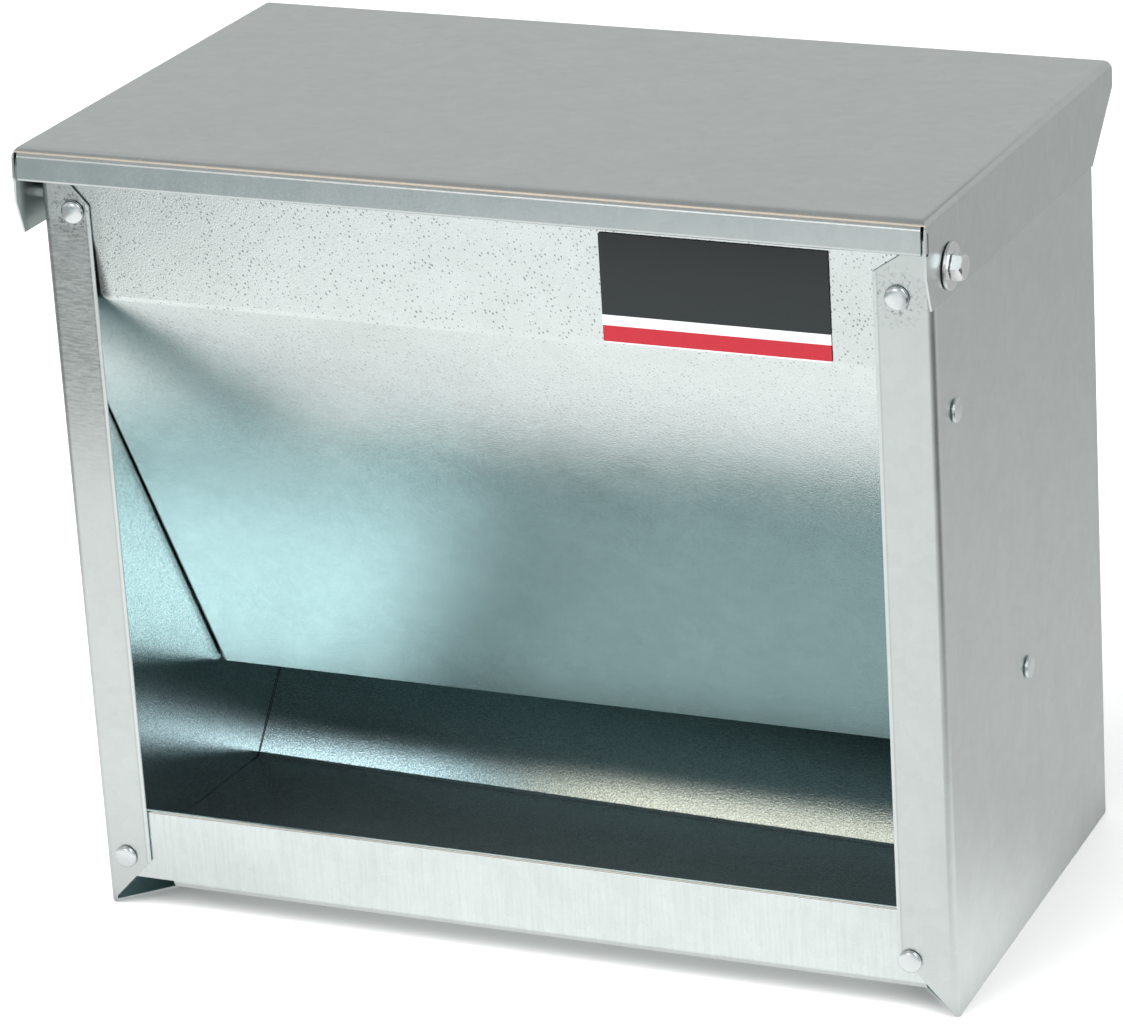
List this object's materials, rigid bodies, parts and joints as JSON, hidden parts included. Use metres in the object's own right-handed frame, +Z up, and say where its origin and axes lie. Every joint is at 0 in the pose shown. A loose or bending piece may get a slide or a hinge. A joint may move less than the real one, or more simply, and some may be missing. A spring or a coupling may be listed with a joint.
{
  "type": "hopper feeder",
  "caption": "Galvanised sheet-metal feeder for rabbits: upright feed hopper with a hinged lid, sloping baffle, hemmed front trough and riveted side panels.",
  "frame": {"origin": "on the surface the feeder stands on, under the middle of its overall outline", "axes": "+X to the feeder's right as seen from its front, across its width; +Y from the trough at the front to the back panel; +Z up"},
  "size_m": [0.2676, 0.1576, 0.2291],
  "materials": {
    "galvanised": "bright galvanised steel with a fine spangle",
    "lid_steel": "duller mid-grey galvanised steel, faintly mottled",
    "rivet_aluminium": "bright aluminium",
    "zinc_plate": "zinc-plated steel",
    "label_film": "satin printed film, blank"
  },
  "bodies": {
    "body": {"side_panel_left": "galvanised", "side_panel_right": "galvanised", "trough_back": "galvanised", "baffle": "galvanised", "label": "label_film", "pivot_bolt_left": "zinc_plate", "pivot_bolt_right": "zinc_plate", "pivot_washer_left": "zinc_plate", "pivot_washer_right": "zinc_plate", "pivot_nut_left": "zinc_plate", "pivot_nut_right": "zinc_plate", "front_rivet_top_left": "rivet_aluminium", "front_rivet_top_right": "rivet_aluminium", "front_rivet_bottom_left": "rivet_aluminium", "front_rivet_bottom_right": "rivet_aluminium", "rear_rivet_top_left": "rivet_aluminium", "rear_rivet_top_right": "rivet_aluminium", "rear_rivet_bottom_left": "rivet_aluminium", "rear_rivet_bottom_right": "rivet_aluminium", "baffle_rivet_upper_left": "rivet_aluminium", "baffle_rivet_upper_right": "rivet_aluminium", "baffle_rivet_lower_left": "rivet_aluminium", "baffle_rivet_lower_right": "rivet_aluminium"},
    "lid": {"lid": "lid_steel"}
  },
  "joints": [
    {"name": "lid_hinge", "type": "hinge", "parent": "body", "child": "lid", "pos_m": [0, -0.0613, 0.2115], "axis": [1, 0, 0], "range_deg": [0, 85]}
  ]
}
